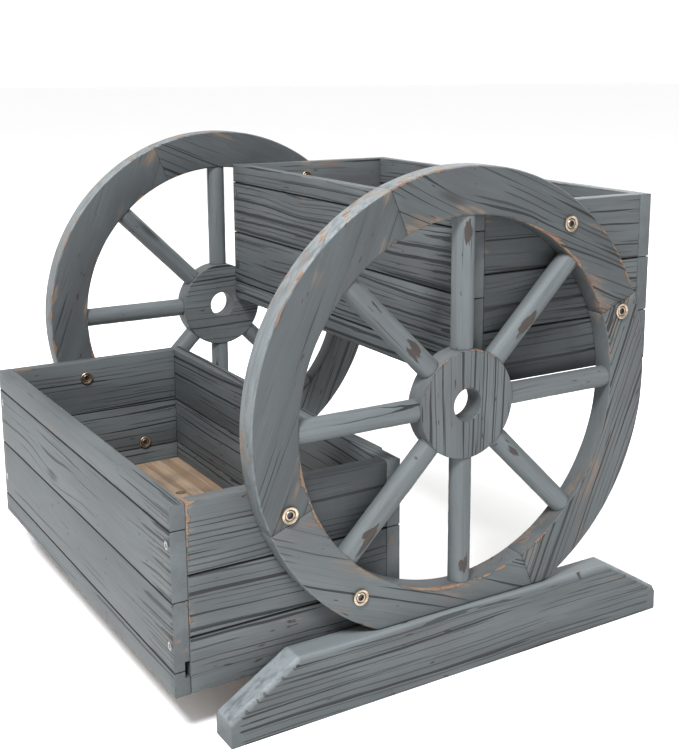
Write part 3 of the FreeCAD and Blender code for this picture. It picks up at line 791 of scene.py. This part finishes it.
def spoke(side, number, chipped_at):
    """A dowel, with its paint knocked off in a place or two."""
    name = "%s_spoke_%d" % (side, number)
    centre = wheel_middle(side)
    turn = (number - 1) * math.tau / SPOKES
    outward = out_from_hub(turn)
    inner, outer = HUB_RADIUS - 3 * MM, RIM_INSIDE + 3 * MM
    form = bmesh.new()
    bmesh.ops.create_cone(form, segments=32, radius1=SPOKE_RADIUS, radius2=SPOKE_RADIUS, depth=outer - inner,
                          cap_ends=True)
    turned_out = outward.to_track_quat("Z", "X").to_matrix().to_4x4()
    place = Matrix.Translation(centre + outward * (inner + outer) / 2) @ turned_out
    bmesh.ops.transform(form, matrix=place, verts=form.verts)
    stations(form, outward, centre.dot(outward) + inner, centre.dot(outward) + outer, 3 * MM)

    def core(spot):
        return centre + outward * (spot - centre).dot(outward)

    wear_down(form, core, 0.35 * MM, 90.0)
    facing = 1 if side == "right" else -1

    def age_of(spot):
        distance = (spot - centre).dot(outward)
        chipped = max([near(distance, at, 30 * MM) for at in chipped_at] or [0])
        outside = max(0.0, (spot - centre).x * facing / SPOKE_RADIUS - 0.6) / 0.4
        # Painted shade where the spoke meets hub and rim.
        at_end = max(near(distance, HUB_RADIUS, 3 * MM), near(distance, RIM_INSIDE, 3 * MM))
        return Vector((0.15 + 3.6 * math.sqrt(chipped * outside), 0.5 * at_end, 0.0))

    smooth_faces(form)
    no_arrises = (Vector(), Vector((1, 1, 1)))
    mark_grain(form, name, outward, RIGHT, lambda spot: no_arrises, age_of, lambda spot: 0.22)
    piece("painted_" + name, form, name, PAINT)


def wheel(side):
    for index in range(len(FELLOES)):
        felloe(side, index)
    hub(side)
    for number in range(1, SPOKES + 1):
        spoke(side, number, SPOKE_CHIPS[number])


# ---------------------------------------------------------------- runners


def runner(side):
    """A long board on edge with sloped ends and softened top edges."""
    name = side + "_runner"
    low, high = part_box(name)
    middle, size = (low + high) / 2, high - low
    form = blank(middle, size - Vector((0.2, 0.2, 0.1)) * MM)
    rise = RUNNER_TOP - RUNNER_END_HEIGHT
    for end, sign in ((low.y, -1), (high.y, 1)):
        slope = Vector((0, sign * rise, RUNNER_SLOPE)).normalized()
        cut_flat(form, Vector((0, end, RUNNER_END_HEIGHT)), slope)
    bmesh.ops.recalc_face_normals(form, faces=form.faces)
    holes = bmesh.new()
    for item_low, item_high in solids_of("wood_screws"):
        item = (item_low + item_high) / 2
        if (item_high - item_low).z > (item_high - item_low).y and item.x * middle.x > 0:
            bmesh.ops.create_cone(holes, segments=28, radius1=COUNTERBORE, radius2=COUNTERBORE, cap_ends=True,
                                  depth=2 * item_low.z, matrix=Matrix.Translation((item.x, item.y, 0)))

    def on_top(edge):
        flat = abs(edge.verts[0].co.x - edge.verts[1].co.x) < 1 * MM
        return flat and min(edge.verts[0].co.z, edge.verts[1].co.z) > RUNNER_END_HEIGHT - 2 * MM

    bevel(form, [edge for edge in form.edges if on_top(edge)], 4.6 * MM, 1)
    sharp = [edge for edge in form.edges if edge.calc_face_angle(0) > math.radians(20)]
    bevel(form, sharp, 0.7 * MM, 1)
    form = carved(form, holes)
    stations(form, BACK, low.y, high.y, 14 * MM)

    def spine(spot):
        return Vector((middle.x, spot.y, min(spot.z, middle.z)))

    wear_down(form, spine, 0.4 * MM, 50.0)

    def top_at(spot):
        from_end = min(spot.y - low.y, high.y - spot.y)
        return min(RUNNER_TOP, RUNNER_END_HEIGHT + rise * max(0.0, from_end) / RUNNER_SLOPE)

    def place_of(spot):
        """Only the top arrises wear, so the bottom ones are put out of reach."""
        half_height = 1.0
        return (Vector((0, half_height - (top_at(spot) - spot.z), spot.x - middle.x)),
                Vector((1, half_height, size.x / 2)))

    def age_of(spot):
        from_end = min(spot.y - low.y, high.y - spot.y)
        at_corner = near(from_end, RUNNER_SLOPE, 30 * MM)
        on_face = top_at(spot) - spot.z > 3 * MM
        figure = RUNNER_FIGURE if on_face else -0.3
        return Vector((0.15 + 0.22 * at_corner, 0.0, figure if from_end > 1 * MM else PLAIN))

    # Paler tops: painted highlight on the upward faces, brightest along the chamfered edges, with some sanded
    # wear.
    def pale_of(spot):
        edge_band = abs(spot.x - middle.x) > size.x / 2 - 6 * MM
        on_slope = min(spot.y - low.y, high.y - spot.y) < RUNNER_SLOPE + 2 * MM
        if top_at(spot) - spot.z > 3 * MM:
            return 0.0
        if on_slope:
            return 1.0 if edge_band else 0.50
        return 0.60 if edge_band else 0.40

    smooth_faces(form, math.radians(18))
    mark_grain(form, name, BACK, UP, place_of, age_of, pale_of)
    piece("painted_" + name, form, name, PAINT)


# ---------------------------------------------------------------- fasteners


def turned(profile, segments):
    """Spin a profile of (radius, height, dirt) points about Z."""
    form = bmesh.new()
    dirt_and_shade = form.verts.layers.float.new("dirt_and_shade")
    points = []
    for radius, height, amount in profile:
        point = form.verts.new((radius, 0, height))
        point[dirt_and_shade] = amount
        points.append(point)
    for first, second in zip(points, points[1:]):
        form.edges.new((first, second))
    bmesh.ops.spin(form, geom=form.verts[:] + form.edges[:], cent=Vector(), axis=UP, dvec=Vector(),
                   angle=math.tau, steps=segments, use_merge=True, use_duplicate=False)
    bmesh.ops.remove_doubles(form, verts=form.verts, dist=0.005 * MM)
    return form


def flat_bolt_head(radius, height, shank_radius, shank_length):
    """A flat round head, dished round a collar with a hex socket. Its seat is at Z = 0, its shank below."""
    socket = 2.9 * MM
    gap = 0.4 * MM
    shank = ((shank_radius, -shank_length, 0), (shank_radius, gap, 1))
    # The dark underside of the head's rim is painted shade under the head, over a real gap; the dish and
    # socket are tarnished.
    flange = ((radius * 0.94, gap, 1), (radius * 0.99, gap * 1.6, 0.9), (radius, height * 0.55, 0),
              (radius * 0.97, height * 0.88, 0), (radius * 0.91, height, 0),
              (radius * 0.78, height * 0.98, 0))
    dish = ((radius * 0.68, height * 0.84, 0.15), (radius * 0.63, height * 0.50, 0.9),
            (radius * 0.58, height * 0.46, 0.9))
    collar = ((radius * 0.55, height * 0.66, 0.3), (radius * 0.51, height * 0.76, 0),
              (radius * 0.44, height * 0.76, 0.2), (radius * 0.40, height * 0.70, 0.7))
    profile = shank + flange + dish + collar
    form = turned(profile, 48)
    dirt_and_shade = form.verts.layers.float["dirt_and_shade"]
    loop = [edge for edge in form.edges if edge.is_boundary and edge.verts[0].co.z > 0]
    hexagon = bmesh.ops.create_circle(form, segments=6, radius=socket,
                                      matrix=Matrix.Translation((0, 0, height * 0.68)))
    for vert in hexagon["verts"]:
        vert[dirt_and_shade] = 1.0
    hex_edges = list({edge for vert in hexagon["verts"] for edge in vert.link_edges})
    bmesh.ops.bridge_loops(form, edges=loop + hex_edges)
    walls = bmesh.ops.extrude_edge_only(form, edges=hex_edges)["geom"]
    lower = [item for item in walls if isinstance(item, bmesh.types.BMVert)]
    bmesh.ops.translate(form, vec=(0, 0, -height * 0.6), verts=lower)
    bmesh.ops.holes_fill(form, edges=form.edges, sides=0)
    bmesh.ops.recalc_face_normals(form, faces=form.faces)
    return form


def screw_head(radius, length, shank_radius):
    """A countersunk head with a cross recess, its face at Z = 0 and its shank below."""
    neck = radius - shank_radius + 0.4 * MM
    face = ((0, 0.0, 0), (radius * 0.45, 0.0, 0), (radius * 0.86, -0.02 * MM, 0),
            (radius * 0.97, -0.10 * MM, 0.3), (radius, -0.16 * MM, 1))
    # A dark ring round the head, just below its face: painted shade and paint-filled gunk round the screw.
    filler = ((radius * 1.16, -0.02 * MM, 1), (radius * 1.2, -0.25 * MM, 1))
    shank = ((shank_radius, -neck, 1), (shank_radius, -length, 1), (0, -length, 1))
    form = turned(face + filler + shank, 28)
    bmesh.ops.recalc_face_normals(form, faces=form.faces)
    cutter = bmesh.new()
    dirt_and_shade = cutter.verts.layers.float.new("dirt_and_shade")
    for turn in (0, math.pi / 2):
        arm = bmesh.ops.create_cube(cutter, size=1)["verts"]
        shape = Matrix.Rotation(turn, 4, "Z") @ Matrix.Diagonal((radius * 1.25, 1.1 * MM, 2.8 * MM, 1))
        bmesh.ops.transform(cutter, matrix=shape, verts=arm)
    for vert in cutter.verts:
        vert[dirt_and_shade] = 1.0
    return carved(form, cutter)


def fasteners(name, node, model, pose_of, material):
    """One model set at each of a node's solids, as one piece."""
    mesh = bpy.data.meshes.new(name + "_model")
    model.to_mesh(mesh)
    model.free()
    form = bmesh.new()
    for low, high in solids_of(node):
        before = len(form.verts)
        form.from_mesh(mesh)
        form.verts.ensure_lookup_table()
        bmesh.ops.transform(form, matrix=pose_of(low, high), verts=form.verts[before:])
    for face in form.faces:
        face.smooth = True
    for edge in form.edges:
        if edge.is_manifold and edge.calc_face_angle(0) > math.radians(28):
            edge.smooth = False
    piece(name, form, node, material)


def facing(outward, seat, twist=0.0):
    """Local Z along a direction, with the origin at a point."""
    turn = outward.to_track_quat("Z", "Y").to_matrix().to_4x4()
    return Matrix.Translation(seat) @ turn @ Matrix.Rotation(twist, 4, "Z")


def bolts():
    """From outside, through the rim into the box's end wall."""
    head_radius, head_height = 8 * MM, 2.5 * MM
    shank_radius, shank_length = 3 * MM, 33 * MM

    def pose_of(low, high):
        middle = (low + high) / 2
        sign = 1 if middle.x > 0 else -1
        seat = Vector((sign * (max(abs(low.x), abs(high.x)) - head_height), middle.y, middle.z))
        return facing(RIGHT * sign, seat, twist=middle.y * 40)

    model = flat_bolt_head(head_radius, head_height, shank_radius, shank_length)
    fasteners("flat_head_bolts", "connector_bolts", model, pose_of, BRONZE)


def nuts():
    """From inside the box, on the bolts' ends."""
    head_radius, head_height = 7.5 * MM, 2.5 * MM
    sleeve_radius, sleeve_length = 4.4 * MM, 11 * MM

    def pose_of(low, high):
        middle = (low + high) / 2
        sign = -1 if middle.x > 0 else 1
        seat = Vector((-sign * (min(abs(low.x), abs(high.x)) + head_height), middle.y, middle.z))
        return facing(RIGHT * sign, seat, twist=middle.y * 30)

    model = flat_bolt_head(head_radius, head_height, sleeve_radius, sleeve_length)
    fasteners("sleeve_nuts", "cap_nuts", model, pose_of, BRONZE)


def screws():
    """Through the front and rear walls into the end walls, and up through the runners into the wheels."""
    head_radius, shank_radius, length = 3.9 * MM, 2 * MM, 40 * MM
    lower_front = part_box("lower_front_board_top")[1].y
    upper_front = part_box("upper_front_board_top")[0].y

    def pose_of(low, high):
        middle, size = (low + high) / 2, high - low
        if size.z > size.y:
            return facing(-UP, Vector((middle.x, middle.y, low.z)))
        from_front = low.y < lower_front or abs(low.y - upper_front) < 1 * MM
        outward = -BACK if from_front else BACK
        seat_y = low.y if from_front else high.y
        return facing(outward, Vector((middle.x, seat_y, middle.z)), twist=middle.z * 50)

    model = screw_head(head_radius, length, shank_radius)
    fasteners("cross_head_screws", "wood_screws", model, pose_of, ZINC)


# ---------------------------------------------------------------- the object


for box_name in ("lower", "upper"):
    slatted_box(box_name)
    floor_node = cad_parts[box_name + "_floor"]
    floor_node.data.materials.clear()
    floor_node.data.materials.append(BARE)
for side_name in ("right", "left"):
    wheel(side_name)
    runner(side_name)
bolts()
nuts()
screws()


# ---------------------------------------------------------------- the room


def ground():
    form = bmesh.new()
    bmesh.ops.create_grid(form, x_segments=1, y_segments=1, size=20)
    mesh = bpy.data.meshes.new("ground")
    form.to_mesh(mesh)
    form.free()
    item = bpy.data.objects.new("ground", mesh)
    mesh.materials.append(pale_floor())
    bpy.context.scene.collection.objects.link(item)


def softbox(name, place, target, size, power):
    data = bpy.data.lights.new(name, "AREA")
    data.shape = "DISK"
    data.size = size
    data.energy = power
    item = bpy.data.objects.new(name, data)
    item.location = place
    item.rotation_mode = "QUATERNION"
    item.rotation_quaternion = (Vector(target) - Vector(place)).to_track_quat("-Z", "Y")
    bpy.context.scene.collection.objects.link(item)


def studio():
    ground()
    world = bpy.data.worlds.new("studio")
    world.use_nodes = True
    background = world.node_tree.nodes["Background"]
    background.inputs["Color"].default_value = (1.0, 1.0, 1.0, 1.0)
    background.inputs["Strength"].default_value = 0.83
    bpy.context.scene.world = world
    softbox("key", (1.45, -1.35, 2.50), (0, 0, 0.25), 0.8, 138)
    softbox("overhead", (-0.3, -0.4, 2.4), (0, 0, 0.2), 1.2, 16)
    softbox("rear_fill", (-1.5, 2.0, 1.8), (0, 0, 0.25), 1.4, 26)
    bpy.context.scene.view_settings.view_transform = "Standard"
    bpy.context.scene.view_settings.exposure = 0.3


def camera():
    """Looking at the right-hand wheel and the low box from the front right, a little above."""
    azimuth, elevation, roll = math.radians(56.17), math.radians(11.49), math.radians(0.45)
    back = Vector((math.sin(azimuth) * math.cos(elevation), -math.cos(azimuth) * math.cos(elevation),
                   math.sin(elevation)))
    level = Vector((math.cos(azimuth), math.sin(azimuth), 0))
    upright = back.cross(level)
    right = level * math.cos(roll) + upright * math.sin(roll)
    up = upright * math.cos(roll) - level * math.sin(roll)
    data = bpy.data.cameras.new("camera")
    data.lens = 57.6
    data.sensor_width = 36
    data.shift_x = -0.107
    data.shift_y = -0.100
    data.clip_end = 60
    item = bpy.data.objects.new("camera", data)
    item.matrix_world = Matrix((right, up, back)).transposed().to_4x4()
    item.location = (1.1617, -0.6228, 0.5888)
    bpy.context.scene.collection.objects.link(item)
    bpy.context.scene.camera = item


studio()
camera()
